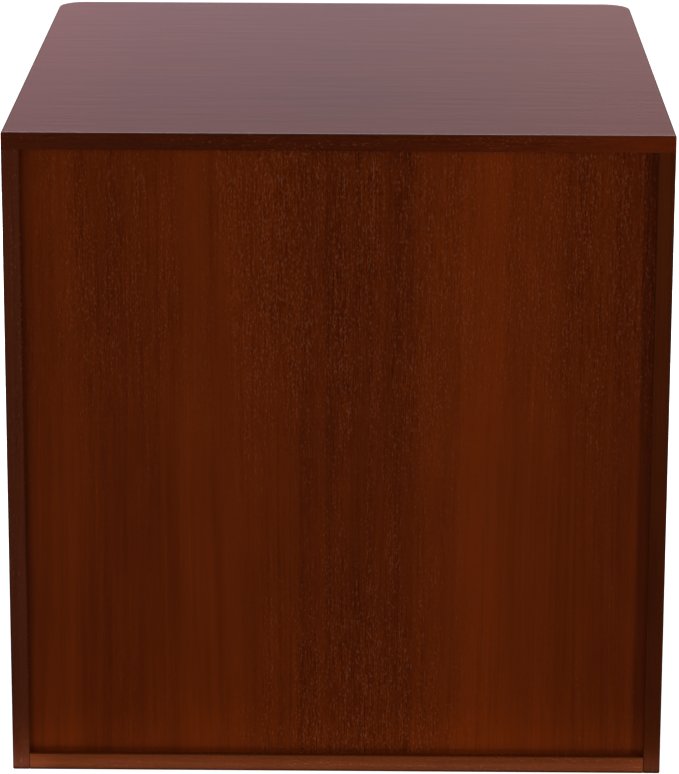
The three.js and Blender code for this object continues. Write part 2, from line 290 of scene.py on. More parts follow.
def add_drill(bm, mouth, inward, radius, depth, flare=0.0):
    """The shape of a drilled hole, from a little outside its mouth. flare widens the mouth."""
    inward = Vector(inward)
    sideways = Vector((0, 1, 0)) if abs(inward.y) < 0.5 else Vector((1, 0, 0))
    place = facing(Vector(mouth), inward, sideways)
    profile = [(0, -OVERCUT), (radius + flare, -OVERCUT)]
    if flare:
        profile += [(radius + flare, 0)]
    profile += [(radius, flare), (radius, depth), (0, depth)]
    add_turned(bm, profile, HOLE_SIDES, place)


def mesh_object(name, bm):
    """An object in the scene with the mesh that bm holds. It uses bm up."""
    bmesh.ops.recalc_face_normals(bm, faces=bm.faces)
    mesh = bpy.data.meshes.new(name)
    bm.to_mesh(mesh)
    bm.free()
    piece = bpy.data.objects.new(name, mesh)
    bpy.context.scene.collection.objects.link(piece)
    return piece


def settle(piece):
    """Applies the piece's modifiers to its mesh."""
    view = bpy.context.evaluated_depsgraph_get()
    mesh = bpy.data.meshes.new_from_object(piece.evaluated_get(view))
    old = piece.data
    piece.modifiers.clear()
    piece.data = mesh
    bpy.data.meshes.remove(old)
    mesh.name = piece.name


def combine(piece, other_bm, operation):
    """Cuts the other shape out of the piece, or joins it to the piece."""
    other = mesh_object("tool", other_bm)
    boolean = piece.modifiers.new("combine", "BOOLEAN")
    boolean.operation = operation
    boolean.solver = "EXACT"
    boolean.use_self = True
    boolean.object = other
    settle(piece)
    mesh = other.data
    bpy.data.objects.remove(other)
    bpy.data.meshes.remove(mesh)


def round_edges(piece):
    """Rounds the edges whose bevel weight is set, to that share of an arris."""
    bevel = piece.modifiers.new("arrises", "BEVEL")
    bevel.limit_method = "WEIGHT"
    bevel.width = ARRIS
    bevel.segments = ARRIS_STEPS
    settle(piece)


def weigh_edges(bm, rounding):
    """Sets each sharp edge's bevel weight, for rounding(edge's middle, edge's direction) in metres."""
    bm.normal_update()
    weights = bm.edges.layers.float.new("bevel_weight_edge")
    for edge in bm.edges:
        if edge.calc_face_angle(0) < CREASE_ANGLE:
            continue
        start, end = (vertex.co for vertex in edge.verts)
        edge[weights] = rounding((start + end) / 2, (end - start).normalized()) / ARRIS


def finish_piece(piece, material, body, node):
    """Shades the piece smooth between its creases, gives it its material and body, and hides the CAD node
    that it replaces.
    """
    mesh = piece.data
    mesh.materials.clear()
    mesh.materials.append(material)
    bm = bmesh.new()
    bm.from_mesh(mesh)
    bmesh.ops.dissolve_degenerate(bm, dist=0.001 * MM, edges=bm.edges)
    for face in bm.faces:
        face.smooth = True
        face.material_index = 0
    for edge in bm.edges:
        edge.smooth = edge.calc_face_angle(0) < CREASE_ANGLE
    bm.to_mesh(mesh)
    bm.free()
    normals = piece.modifiers.new("normals", "WEIGHTED_NORMAL")
    normals.keep_sharp = True
    normals.weight = 60
    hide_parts(node)
    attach(piece, body)


# Materials

class Shader:
    """The node tree of a material or a world, with a short call for each kind of node."""

    def __init__(self, owner):
        self.owner = owner
        owner.use_nodes = True
        self.tree = owner.node_tree
        self.tree.nodes.clear()

    def node(self, kind, inputs, **settings):
        made = self.tree.nodes.new(kind)
        for key, value in settings.items():
            setattr(made, key, value)
        for key, value in inputs.items():
            self.feed(made.inputs[key], value)
        return made

    def feed(self, socket, value):
        if isinstance(value, bpy.types.NodeSocket):
            self.tree.links.new(value, socket)
        else:
            socket.default_value = value

    def places(self, kind):
        """A kind of texture coordinate, such as Object or Normal."""
        return self.node("ShaderNodeTexCoord", {}).outputs[kind]

    def math(self, operation, a, b=0.0):
        return self.node("ShaderNodeMath", {0: a, 1: b}, operation=operation).outputs[0]

    def limited(self, value):
        """The value kept between 0 and 1."""
        return self.math("MINIMUM", self.math("MAXIMUM", value, 0.0), 1.0)

    def vector(self, operation, a, b=(0, 0, 0)):
        return self.node("ShaderNodeVectorMath", {0: a, 1: b}, operation=operation).outputs[0]

    def combined(self, x, y, z):
        return self.node("ShaderNodeCombineXYZ", {0: x, 1: y, 2: z}).outputs[0]

    def separate(self, vector):
        return self.node("ShaderNodeSeparateXYZ", {0: vector}).outputs

    def rise(self, value, start, end, low=0.0, high=1.0):
        """low below start, high above end, and a smooth rise between them."""
        inputs = {"Value": value, "From Min": start, "From Max": end, "To Min": low, "To Max": high}
        return self.node("ShaderNodeMapRange", inputs, interpolation_type="SMOOTHSTEP").outputs[0]

    def line(self, value, start, end, low=0.0, high=1.0):
        """The same with a straight rise."""
        inputs = {"Value": value, "From Min": start, "From Max": end, "To Min": low, "To Max": high}
        return self.node("ShaderNodeMapRange", inputs, clamp=True).outputs[0]

    def noise(self, place, detail, roughness=0.5):
        inputs = {"Vector": place, "Scale": 1.0, "Detail": detail, "Roughness": roughness}
        return self.node("ShaderNodeTexNoise", inputs).outputs[0]

    def mix(self, share, a, b, blend="MIX"):
        """From a, where share is 0, to b, where it is 1."""
        made = self.node("ShaderNodeMix", {}, data_type="RGBA", blend_type=blend)
        self.feed(made.inputs[0], share)
        self.feed(made.inputs[6], a)
        self.feed(made.inputs[7], b)
        return made.outputs[2]

    def ramp(self, value, stops):
        """A smooth ramp through (place, grey level) stops."""
        made = self.node("ShaderNodeValToRGB", {0: value})
        made.color_ramp.interpolation = "EASE"
        while len(made.color_ramp.elements) < len(stops):
            made.color_ramp.elements.new(1.0)
        for element, (place, level) in zip(made.color_ramp.elements, stops):
            element.position = place
            element.color = (level, level, level, 1.0)
        return made.outputs[0]

    def bump(self, height, distance):
        return self.node("ShaderNodeBump", {"Height": height, "Distance": distance}).outputs[0]

    def surface(self, colour, roughness, normal, **plain):
        """The Principled shader. plain holds what is the same all over the surface. Returns the material."""
        principled = self.node("ShaderNodeBsdfPrincipled", {
            "Base Color": colour,
            "Roughness": roughness,
            "Normal": normal,
            **{key.replace("_", " "): value for key, value in plain.items()},
        })
        self.node("ShaderNodeOutputMaterial", {"Surface": principled.outputs[0]})
        return self.owner


def with_alpha(colour):
    """The colour as a socket takes it."""
    return (*colour, 1)


def along_fibres(shader, axes, grain, seed):
    """A call, streaks(length, width, detail, roughness), for noise drawn out along a board's fibres."""
    along = axes[grain]
    across = axes[0 if grain == 2 else 1]
    depth = axes[1 if grain == 2 else 2]
    start = [seed * step for step in SEED_STEP]
    straight = shader.vector("ADD", shader.combined(along, across, depth), start)
    wander = shader.noise(shader.vector("MULTIPLY", straight, WANDER_SCALE), 1.0)
    drift = shader.line(wander, *NOISE_RANGE, -WANDER, WANDER)
    fibres = shader.vector("ADD", straight, shader.combined(0.0, drift, drift))

    def streaks(length, width, detail, roughness):
        scale = (1 / length, 1 / width, 1 / width)
        return shader.noise(shader.vector("MULTIPLY", fibres, scale), detail, roughness)

    return streaks


def stain_tone(shader, streaks, grain_lines):
    """How light the stain is: broad bands, with finer and finer streaks on them."""
    tone = shader.line(streaks(*BANDS), *BAND_RANGE, 0.5 - BAND_REACH, 0.5 + BAND_REACH)
    finer = (
        (streaks(*STREAKS), STREAK_REACH),
        (streaks(*CLOUDS), CLOUD_REACH),
        (grain_lines, GRAIN_LINE_REACH),
    )
    for streak, reach in finer:
        tone = shader.math("ADD", tone, shader.line(streak, *NOISE_RANGE, -reach, reach))
    return tone


def leaf_looks(shader, place, height, leaves):
    """The tone that the veneer's leaves add, and how open their pores are."""
    tone, foot_pores, head_pores = (
        shader.ramp(place, [(leaf[0], leaf[number]) for leaf in leaves]) for number in (1, 2, 3)
    )
    pores = shader.mix(shader.rise(height, 0.2, 0.8), foot_pores, head_pores)
    from_dip = shader.math("ABSOLUTE", shader.math("SUBTRACT", height, PORE_DIP_HEIGHT))
    pores = shader.math("MULTIPLY", pores, shader.rise(from_dip, 0.0, PORE_DIP_REACH, DIP_PORES, FULL_PORES))
    return shader.math("SUBTRACT", tone, 0.5), pores


def turned_away(shader):
    """1 on arrises, where the surface turns away from the board's flat faces, and 0 on the faces. It masks
    the painted shade on the arrises.
    """
    normal = shader.separate(shader.vector("ABSOLUTE", shader.places("Normal")))
    flatness = shader.math("MAXIMUM", shader.math("MAXIMUM", normal[0], normal[1]), normal[2])
    return shader.rise(flatness, 0.995, 0.88)


def stain_colour(shader, tone, flecks, slits, dark, light):
    """The stain with its pores, a painted sheen in the pale flecks, and painted shade on its arrises."""
    # Painted sheen: a fleck is the light stain with a neutral highlight added to it
    fleck_colour_with_sheen = [value + haze for value, haze in zip(light, PORE_PAINTED_SHEEN)]
    slit_colour = [value * part for value, part in zip(dark, SLIT_TINT)]
    arris_shade_colour = [value * ARRIS_SHADE_TINT for value in dark]
    colour = shader.mix(shader.limited(tone), with_alpha(dark), with_alpha(light))
    for pores, pore_colour in ((slits, slit_colour), (flecks, fleck_colour_with_sheen)):
        cover = shader.limited(shader.math("MULTIPLY", pores, PORE_COVER))
        colour = shader.mix(cover, colour, with_alpha(pore_colour))
    # Painted shade: on the arrises, where the surface turns away, the colour is darkened towards a darker
    # stain colour
    arris = shader.math("MULTIPLY", turned_away(shader), ARRIS_SHADE_COVER)
    return shader.mix(arris, colour, with_alpha(arris_shade_colour))


def pore_relief(shader, grain_lines, flecks, slits):
    """The height of the surface in millimetres: low where the pores are, along fine ridges."""
    pits = shader.math("ADD", slits, shader.math("MULTIPLY", flecks, FLECK_DEPTH))
    ridges = shader.math("MULTIPLY", grain_lines, GRAIN_RELIEF)
    return shader.math("SUBTRACT", ridges, shader.math("MULTIPLY", pits, PORE_RELIEF))


def wood(name, grain, seed, stain, pores, shine, leaves=None, gloss=0.2, film=0.0, rear_shade_tints=None):
    """Stained open-pore hardwood under satin lacquer.

    grain is the number of the axis that the fibres follow, and seed picks the piece of tree.
    stain holds the stain's dark and light ends, and pores is how strongly the open pores show.
    shine is the lacquer's roughness and gloss its specular level.
    leaves, if given, are the (place, tone, pores at the foot, pores at the head) of the veneer's
    leaves, from the left side to the right.
    film, if given, is the height in millimetres of the ridges of a lacquer that fills the pores.
    The rear tints, if given, are the colours of the left and right ends of the rear edge: painted shade that
    darkens the rear face against the top face.
    """
    shader = Shader(bpy.data.materials.new(name))
    axes = shader.separate(shader.places("Object"))
    low, high = CAD_BOX
    place = shader.line(axes[0], low.x, high.x)
    streaks = along_fibres(shader, axes, grain, seed)
    grain_lines = streaks(*GRAIN_LINES)
    tone = stain_tone(shader, streaks, grain_lines)

    # Open pores show as pale flecks with a painted sheen and dark slits along the fibres, stronger in some
    # patches
    closed, opened = CLOSED_PORES * pores, OPEN_PORES * pores
    openness = shader.rise(streaks(*PORE_PATCHES), PATCH_CLOSED, PATCH_OPEN, closed, opened)
    if leaves:
        height = shader.line(axes[2], low.z, high.z)
        leaf_tone, leaf_pores = leaf_looks(shader, place, height, leaves)
        tone = shader.math("ADD", tone, leaf_tone)
        openness = shader.math("MULTIPLY", openness, leaf_pores)
    if rear_shade_tints:
        to_rear = shader.rise(shader.separate(shader.places("Normal"))[1], 0.5, 0.9)
        edge_pores = shader.line(to_rear, 0.0, 1.0, TOP_FACE_PORES, TOP_EDGE_PORES)
        openness = shader.math("MULTIPLY", openness, edge_pores)
    rows = streaks(*PORE_ROWS)
    row_tone = shader.line(rows, *NOISE_RANGE, -PORE_ROW_REACH, PORE_ROW_REACH)
    tone = shader.math("ADD", tone, shader.math("MULTIPLY", openness, row_tone))
    dashes = shader.mix(0.2, streaks(*PORE_DASHES), rows)
    flecks = shader.math("MULTIPLY", openness, shader.rise(dashes, FLECKS_FROM, FLECKS_TO))
    slits = shader.math("MULTIPLY", openness, shader.rise(dashes, SLITS_FROM, SLITS_TO))

    colour = stain_colour(shader, tone, flecks, slits, *stain)
    if rear_shade_tints:
        # Painted shade: the rear face is coloured darker than the top face of the same board, darker and
        # bluer towards the right
        tint = shader.mix(place, *(with_alpha(end) for end in rear_shade_tints))
        colour = shader.mix(to_rear, colour, shader.mix(1.0, colour, tint, "MULTIPLY"))
    gleam = shader.line(grain_lines, *NOISE_RANGE, shine - SHINE_REACH, shine + SHINE_REACH)
    roughness = shader.math("ADD", gleam, shader.math("MULTIPLY", flecks, FLECK_ROUGHNESS))
    if film:
        relief = shader.math("MULTIPLY", streaks(*FILM_RIDGES), film)
    else:
        relief = pore_relief(shader, grain_lines, flecks, slits)
    bump = shader.bump(relief, 1 * MM)
    return shader.surface(colour, roughness, bump, Specular_IOR_Level=gloss)


def beech(name):
    """Bare, pale dowel wood with short dark rays."""
    shader = Shader(bpy.data.materials.new(name))
    place = shader.places("Object")
    grain = shader.noise(shader.vector("MULTIPLY", place, (900, 900, 60)), 3.0)
    rays = shader.noise(shader.vector("MULTIPLY", place, (1500, 1500, 400)), 1.0)
    colour = shader.mix(shader.rise(grain, 0.3, 0.7), (0.42, 0.24, 0.11, 1), (0.60, 0.39, 0.20, 1))
    colour = shader.mix(shader.rise(rays, 0.60, 0.72, 0.0, 0.6), colour, (0.30, 0.15, 0.06, 1))
    roughness = shader.line(grain, *NOISE_RANGE, 0.62, 0.78)
    return shader.surface(colour, roughness, shader.bump(grain, 0.08 * MM))


def metal(name, dark, light, rough_low, rough_high, pit_depth):
    """Cast or plated metal with cloudy tarnish, fine scratches and small pits."""
    shader = Shader(bpy.data.materials.new(name))
    place = shader.places("Object")
    clouds = shader.noise(shader.vector("MULTIPLY", place, (350, 350, 350)), 3.0)
    scratches = shader.noise(shader.vector("MULTIPLY", place, (400, 6000, 900)), 2.0)
    pits = shader.noise(shader.vector("MULTIPLY", place, (2500, 2500, 2500)), 2.0)
    colour = shader.mix(shader.rise(clouds, 0.3, 0.7), with_alpha(dark), with_alpha(light))
    roughness = shader.line(scratches, 0.3, 0.7, rough_low, rough_high)
    bump = shader.bump(pits, pit_depth)
    return shader.surface(colour, roughness, bump, Metallic=1.0)


# Stain colours: dark and light ends
LEFT_STAIN = ((0.048, 0.0076, 0.0008), (0.100, 0.0160, 0.0017))
# The right side's stain is lighter, and its extra blue against the left side's is a painted sheen; the shelf
# shares it
RIGHT_STAIN_AND_PAINTED_SHEEN = ((0.056, 0.0105, 0.0030), (0.114, 0.0220, 0.0064))
TOP_STAIN = ((0.112, 0.0215, 0.0100), (0.218, 0.0400, 0.0160))
FOOT_STAIN = ((0.074, 0.0136, 0.0016), (0.168, 0.0310, 0.0040))
BACK_STAIN = ((0.076, 0.0099, 0.0004), (0.175, 0.0236, 0.0009))

# The back veneer's leaves, from the left side to the right:
# place across it, tone, pores at the foot, pores at the head
BACK_LEAVES = (
    (0.000, 0.38, 0.14, 0.80),
    (0.140, 0.46, 0.18, 0.85),
    (0.240, 0.76, 0.15, 0.45),
    (0.314, 0.74, 0.35, 0.45),
    (0.316, 0.66, 0.42, 0.55),
    (0.384, 0.50, 0.62, 0.75),
    (0.388, 0.40, 0.85, 0.90),
    (0.500, 0.35, 0.95, 1.00),
    (0.590, 0.46, 0.45, 0.78),
    (0.640, 0.56, 0.30, 0.60),
    (0.700, 0.60, 0.08, 0.35),
    (0.820, 0.32, 0.18, 0.50),
    (0.890, 0.34, 0.10, 0.50),
    (0.893, 0.44, 0.08, 0.40),
    (1.000, 0.38, 0.08, 0.25),
)

# The top is darker half way along
TOP_LEAVES = ((0.0, 0.66, 0.5, 0.5), (0.5, 0.24, 0.5, 0.5), (0.8, 0.45, 0.5, 0.5), (1.0, 0.85, 0.5, 0.5))
# Painted shade of the top's rear face: its colour at the left and right ends, darker and bluer to the right
TOP_REAR_SHADE_TINTS = ((0.64, 0.42, 0.07), (0.34, 0.29, 0.15))

WOODS = {
    "top_panel": wood("top_wood", 0, 1.0, TOP_STAIN, pores=0.6, shine=0.20, leaves=TOP_LEAVES,
                      gloss=0.5, film=0.042, rear_shade_tints=TOP_REAR_SHADE_TINTS),
    "bottom_panel": wood("bottom_wood", 0, 2.0, FOOT_STAIN, pores=0.3, shine=0.24),
    "left_side_panel": wood("left_side_wood", 2, 3.0, LEFT_STAIN, pores=0.15, shine=0.24),
    "right_side_panel": wood("right_side_wood", 2, 4.0, RIGHT_STAIN_AND_PAINTED_SHEEN, pores=0.30, shine=0.24),
    "adjustable_shelf": wood("shelf_wood", 0, 5.0, RIGHT_STAIN_AND_PAINTED_SHEEN, pores=0.5, shine=0.24),
    "back_panel": wood("back_wood", 2, 6.0, BACK_STAIN, pores=0.9, shine=0.24, leaves=BACK_LEAVES,
                       gloss=0.15),
}


# Boards

def joint_way(hand, level):
    """The way from a joint's edge board into its face board."""
    return Vector((0, 0, 1)) if level == "top" else Vector((HANDS[hand], 0, 0))


def cut_holes_for_joint(bm, board, hand, end, level):
    """The dowel and bolt holes of one corner joint, in the board named."""
    bolt_low, bolt_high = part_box(f"cam_bolt_{level}_{hand}_{end}")
    dowel_low, dowel_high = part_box(f"dowel_{level}_{hand}_{end}")
    bolt = (bolt_low + bolt_high) / 2
    dowel = (dowel_low + dowel_high) / 2
    into_face = joint_way(hand, level)
    axis = JOINT_AXES[level]
    in_face = board == ("top_panel" if level == "top" else f"{hand}_side_panel")
    low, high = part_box(board)
    inward = into_face if in_face else -into_face
    mouth_at = (low if inward[axis] > 0 else high)[axis]
    bolt[axis] = dowel[axis] = mouth_at
    if in_face:
        bolt_radius, bolt_depth = BOLT_THREAD_RADIUS + TOUCH, BOLT_THREAD_LENGTH + TOUCH
        dowel_depth = DOWEL_DEPTH_IN_FACE + TOUCH
    else:
        bolt_radius, bolt_depth = BOLT_EDGE_BORE_RADIUS, CAM_SEAT
        dowel_depth = (dowel_high - dowel_low)[axis] - DOWEL_DEPTH_IN_FACE + TOUCH
    add_drill(bm, bolt, inward, bolt_radius, bolt_depth)
    add_drill(bm, dowel, inward, DOWEL_RADIUS + TOUCH, dowel_depth)


def cut_cam_hole(bm, board, cam):
    """The bore that a cam sits in, from the face of the board that it shows on."""
    low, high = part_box(cam)
    board_low, board_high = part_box(board)
    middle = (low + high) / 2
    if board == "bottom_panel":
        mouth, inward = Vector((middle.x, middle.y, board_low.z)), Vector((0, 0, 1))
        radius, depth = (high.x - low.x) / 2, high.z - board_low.z
    else:
        outward = 1 if middle.x > 0 else -1
        face = board_low.x if outward > 0 else board_high.x
        mouth, inward = Vector((face, middle.y, middle.z)), Vector((outward, 0, 0))
        radius, depth = (high.y - low.y) / 2, high.x - low.x + TOUCH
    add_drill(bm, mouth, inward, radius + TOUCH, depth + TOUCH, HOLE_FLARE)


def inner_face(hand):
    """The X of a side's inner face."""
    low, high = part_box(f"{hand}_side_panel")
    return low.x if HANDS[hand] > 0 else high.x


def cut_pin_holes(bm, hand):
    """The two columns of shelf pin holes in a side, round the holes that the pins are in."""
    face = inner_face(hand)
    for end in ENDS:
        low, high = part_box(f"shelf_pin_{hand}_{end}")
        for step in PIN_HOLE_STEPS:
            mouth = Vector((face, (low.y + high.y) / 2, (low.z + high.z) / 2 + step * PIN_HOLE_PITCH))
            depth = PIN_SHANK_LENGTH + TOUCH
            add_drill(bm, mouth, (HANDS[hand], 0, 0), PIN_SHANK_RADIUS + TOUCH, depth, HOLE_FLARE)


def cut_back_groove(bm, board):
    """The groove that the back panel sits in: it reaches round the panel by the same small gap."""
    panel_low, panel_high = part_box("back_panel")
    low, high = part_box(board)
    groove_low = Vector((panel_low.x - TOUCH, panel_low.y - TOUCH, panel_low.z - TOUCH))
    groove_high = Vector((panel_high.x + TOUCH, panel_high.y + JOINT_GAP, panel_high.z + TOUCH))
    if board.endswith("side_panel"):
        groove_low.z, groove_high.z = low.z - OVERCUT, high.z + OVERCUT
    if board == "bottom_panel":
        groove_low.x, groove_high.x = low.x - OVERCUT, high.x + OVERCUT
    add_block(bm, groove_low, groove_high)


def rounded_outline(low, high, radius):
    """The board's outline from above, with rounded front corners."""
    quarter = [math.pi / 2 * step / TOP_CORNER_STEPS for step in range(TOP_CORNER_STEPS + 1)]
    left = [(low.x + radius - radius * math.cos(a), low.y + radius - radius * math.sin(a)) for a in quarter]
    right = [(high.x - radius + radius * math.sin(a), low.y + radius - radius * math.cos(a)) for a in quarter]
    return [*left, *right, (high.x, high.y), (low.x, high.y)]


def board_blank(name, corner_radius=0.0):
    """The board's block. The CAD model's small gaps at the joints are closed up to a hairline."""
    low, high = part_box(name)
    closing = TOUCH - JOINT_GAP
    if name.endswith("side_panel"):
        high.z += closing
    if name == "bottom_panel":
        low.x -= closing
        high.x += closing
    bm = bmesh.new()
    if corner_radius:
        add_prism(bm, rounded_outline(low, high, corner_radius), low.z, high.z)
    else:
        add_block(bm, low, high)
    return bm


def make_board(name, bm, rounding, cutters=None, body="carcass"):
    """The board from its blank: rounding(edge's middle, edge's direction) gives each edge's arris."""
    weigh_edges(bm, rounding)
    piece = mesh_object(name + "_board", bm)
    round_edges(piece)
    if cutters is not None:
        combine(piece, cutters, "DIFFERENCE")
    finish_piece(piece, WOODS[name], body, name)


def make_top():
    bm = board_blank("top_panel", TOP_CORNER_RADIUS)
    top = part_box("top_panel")[1].z
    side_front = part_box("left_side_panel")[0].y

    def rounding(middle, direction):
        meets_sides = middle.z < top - ARRIS and middle.y > side_front and abs(direction.z) < 0.5
        return JOINT_ARRIS if meets_sides else ARRIS

    cutters = bmesh.new()
    cut_back_groove(cutters, "top_panel")
    for hand in HANDS:
        for end in ENDS:
            cut_holes_for_joint(cutters, "top_panel", hand, end, "top")
    make_board("top_panel", bm, rounding, cutters)


def make_bottom():
    bm = board_blank("bottom_panel")

    def rounding(middle, direction):
        return INNER_ARRIS if abs(direction.x) > 0.5 else JOINT_ARRIS

    cutters = bmesh.new()
    cut_back_groove(cutters, "bottom_panel")
    for hand in HANDS:
        for end in ENDS:
            cut_holes_for_joint(cutters, "bottom_panel", hand, end, "bottom")
            cut_cam_hole(cutters, "bottom_panel", f"cam_bottom_{hand}_{end}")
    make_board("bottom_panel", bm, rounding, cutters)


def make_side(hand):
    name = f"{hand}_side_panel"
    bm = board_blank(name)
    low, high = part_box(name)

    def rounding(middle, direction):
        if abs(direction.z) > 0.5:
            outer = HANDS[hand] * middle.x > abs(low.x + high.x) / 2
            return ARRIS if outer else INNER_ARRIS
        return JOINT_ARRIS if middle.z > high.z - ARRIS else INNER_ARRIS

    cutters = bmesh.new()
    cut_back_groove(cutters, name)
    cut_pin_holes(cutters, hand)
    for end in ENDS:
        cut_holes_for_joint(cutters, name, hand, end, "top")
        cut_holes_for_joint(cutters, name, hand, end, "bottom")
        cut_cam_hole(cutters, name, f"cam_top_{hand}_{end}")
    make_board(name, bm, rounding, cutters)


def make_back():
    bm = board_blank("back_panel")
    make_board("back_panel", bm, lambda middle, direction: JOINT_ARRIS)


def make_shelf():
    bm = board_blank("adjustable_shelf")
    make_board("adjustable_shelf", bm, lambda middle, direction: ARRIS, body="shelf")


# Fittings

def rounded_rod(radius, low, high, round_by):
    """Profile points of a rod with rounded rims, as (radius, height)."""
    turn = [math.pi / 2 * step / RIM_STEPS for step in range(RIM_STEPS + 1)]
    flat, first, last = radius - round_by, low + round_by, high - round_by
    start = [(flat + round_by * math.sin(a), first - round_by * math.cos(a)) for a in turn]
    end = [(flat + round_by * math.cos(a), last + round_by * math.sin(a)) for a in turn]
    return start + end


def make_fitting(name, bm, material):
    """A fitting from its shape, under its CAD node's name."""
    finish_piece(mesh_object(name + "_part", bm), material, "carcass", name)


def joint_point(node, hand, level, reach):
    """The joint's plane on the axis of the fitting in node, which reaches that far into the face board."""
    low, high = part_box(node)
    point = (low + high) / 2
    axis = JOINT_AXES[level]
    forward = joint_way(hand, level)
    tip = high if forward[axis] > 0 else low
    point[axis] = tip[axis] - reach * forward[axis]
    return point


def make_bolt(hand, end, level, material):
    """A cam bolt: a coarse thread, a collar, a shank, a neck and a rounded head. The joint is at height 0."""
    name = f"cam_bolt_{level}_{hand}_{end}"
    low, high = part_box(name)
    length = max(high - low)
    base = BOLT_THREAD_LENGTH - length
    head_top = base + BOLT_HEAD_LENGTH
    neck_top = head_top + BOLT_NECK_LENGTH
    core = BOLT_THREAD_RADIUS - BOLT_THREAD_HEIGHT
    profile = [(0, base)]
    profile += rounded_rod(BOLT_HEAD_RADIUS, base, head_top, BOLT_HEAD_RIM)
    profile += [(BOLT_NECK_RADIUS, head_top), (BOLT_NECK_RADIUS, neck_top)]
    profile += [(BOLT_SHANK_RADIUS, neck_top + BOLT_SHOULDER_LENGTH)]
    profile += [(BOLT_SHANK_RADIUS, -BOLT_COLLAR_LENGTH)]
    profile += rounded_rod(BOLT_COLLAR_RADIUS, -BOLT_COLLAR_LENGTH, -TOUCH, BOLT_COLLAR_RIM)
    for step in range(BOLT_THREAD_STEPS + 1):
        height = (BOLT_THREAD_LENGTH - BOLT_TIP_FLAT) * step / BOLT_THREAD_STEPS
        tip = min(1.0, max(0.0, (BOLT_THREAD_LENGTH - height) / BOLT_TIP_LENGTH))
        profile.append((core * (BOLT_TIP_SHARE + (1 - BOLT_TIP_SHARE) * tip), height))
    profile.append((0, BOLT_THREAD_LENGTH))

    def thread(angle, radius, height):
        if height < BOLT_THREAD_START or radius > core * 1.001:
            return radius
        turn = (height / BOLT_THREAD_PITCH - angle / math.tau) % 1.0
        ridge = max(0.0, 1.0 - abs(turn - 0.5) / BOLT_THREAD_HALF_WIDTH)
        fade = min(1.0, (height - BOLT_THREAD_START) / BOLT_THREAD_FADE, radius / core)
        return radius + BOLT_THREAD_HEIGHT * ridge * fade

    bm = bmesh.new()
    place = facing(joint_point(name, hand, level, BOLT_THREAD_LENGTH), joint_way(hand, level), (0, 1, 0))
    add_turned(bm, profile, BOLT_SIDES, place, thread)
    make_fitting(name, bm, material)


def make_dowel(hand, end, level, material):
    """A fluted dowel with rounded ends. The joint is at height 0."""
    name = f"dowel_{level}_{hand}_{end}"
    low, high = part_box(name)
    length = max(high - low)
    base = DOWEL_DEPTH_IN_FACE - length
    rod = rounded_rod(DOWEL_RADIUS, base, DOWEL_DEPTH_IN_FACE, DOWEL_RIM)
    profile = [(0, base), *rod, (0, DOWEL_DEPTH_IN_FACE)]

    def fluted(angle, radius, height):
        valley = max(0.0, math.cos(DOWEL_FLUTES * angle)) ** 3
        return radius - DOWEL_FLUTE_DEPTH * valley

    bm = bmesh.new()
    place = facing(joint_point(name, hand, level, DOWEL_DEPTH_IN_FACE), joint_way(hand, level), (0, 1, 0))
    add_turned(bm, profile, DOWEL_FLUTES * 4, place, fluted)
    make_fitting(name, bm, material)


def make_cam(hand, end, level, material):
    """A cam: a drum with a screwdriver cross in its face and a chamber for the bolt's head in its back.
    Its face is at height 0, the drum goes down from there, and the bolt comes in along X."""
    name = f"cam_{level}_{hand}_{end}"
    low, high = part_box(name)
    middle = (low + high) / 2
    size = high - low
    face = Vector((-HANDS[hand], 0, 0)) if level == "top" else Vector((0, 0, -1))
    radius, length = size.y / 2, min(size)
    place = facing(middle + face * length / 2, face, joint_way(hand, level))

    drum = bmesh.new()
    dish = radius - CAM_LIP
    profile = [(0, -length), *rounded_rod(radius, -length, 0, CAM_RIM)]
    profile += [(dish, 0), (dish - CAM_DISH_SLOPE, -CAM_DISH), (0, -CAM_DISH)]
    add_turned(drum, profile, CAM_SIDES, place)
    piece = mesh_object(name + "_part", drum)

    # Room for the bolt's head and neck, whose axis is in the middle of the board's thickness
    bolt_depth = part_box("bottom_panel")[1].z / 2 - TOUCH
    chamber_low, chamber_high = CAM_CHAMBER
    head_room = BOLT_HEAD_RADIUS + 2 * TOUCH
    neck_room = BOLT_NECK_RADIUS + 2 * TOUCH
    below = -length - OVERCUT
    hollows = (
        ((chamber_low, -head_room, below), (chamber_high, head_room, head_room - bolt_depth)),
        ((0, -neck_room, below), (radius + OVERCUT, neck_room, neck_room - bolt_depth)),
    )
    half, narrow = CAM_CROSS_LENGTH / 2, CAM_CROSS_WIDTH / 2
    arms = (
        ((-half, -narrow, -CAM_CROSS_DEPTH), (half, narrow, OVERCUT)),
        ((-narrow, -half, -CAM_CROSS_DEPTH), (narrow, half, OVERCUT)),
    )
    for low_corner, high_corner in (*hollows, *arms):
        tool = bmesh.new()
        corners = add_block(tool, low_corner, high_corner)
        bmesh.ops.transform(tool, matrix=place, verts=corners)
        combine(piece, tool, "DIFFERENCE")
    finish_piece(piece, material, "carcass", name)


def blade_outline():
    """A pin's blade from above, from the middle of the collar: its far corners are rounded."""
    start = TOUCH + PIN_COLLAR_LENGTH / 2
    half = PIN_BLADE_WIDTH / 2
    corner = PIN_BLADE_CORNER
    turn = [math.pi / 2 * step / PIN_BLADE_CORNER_STEPS for step in range(PIN_BLADE_CORNER_STEPS + 1)]
    side, reach = half - corner, PIN_BLADE_LENGTH - corner
    far = [(side + corner * math.cos(a), reach + corner * math.sin(a)) for a in turn]
    return [(-half, start), (half, start), *far, *[(-y, z) for y, z in reversed(far)]]


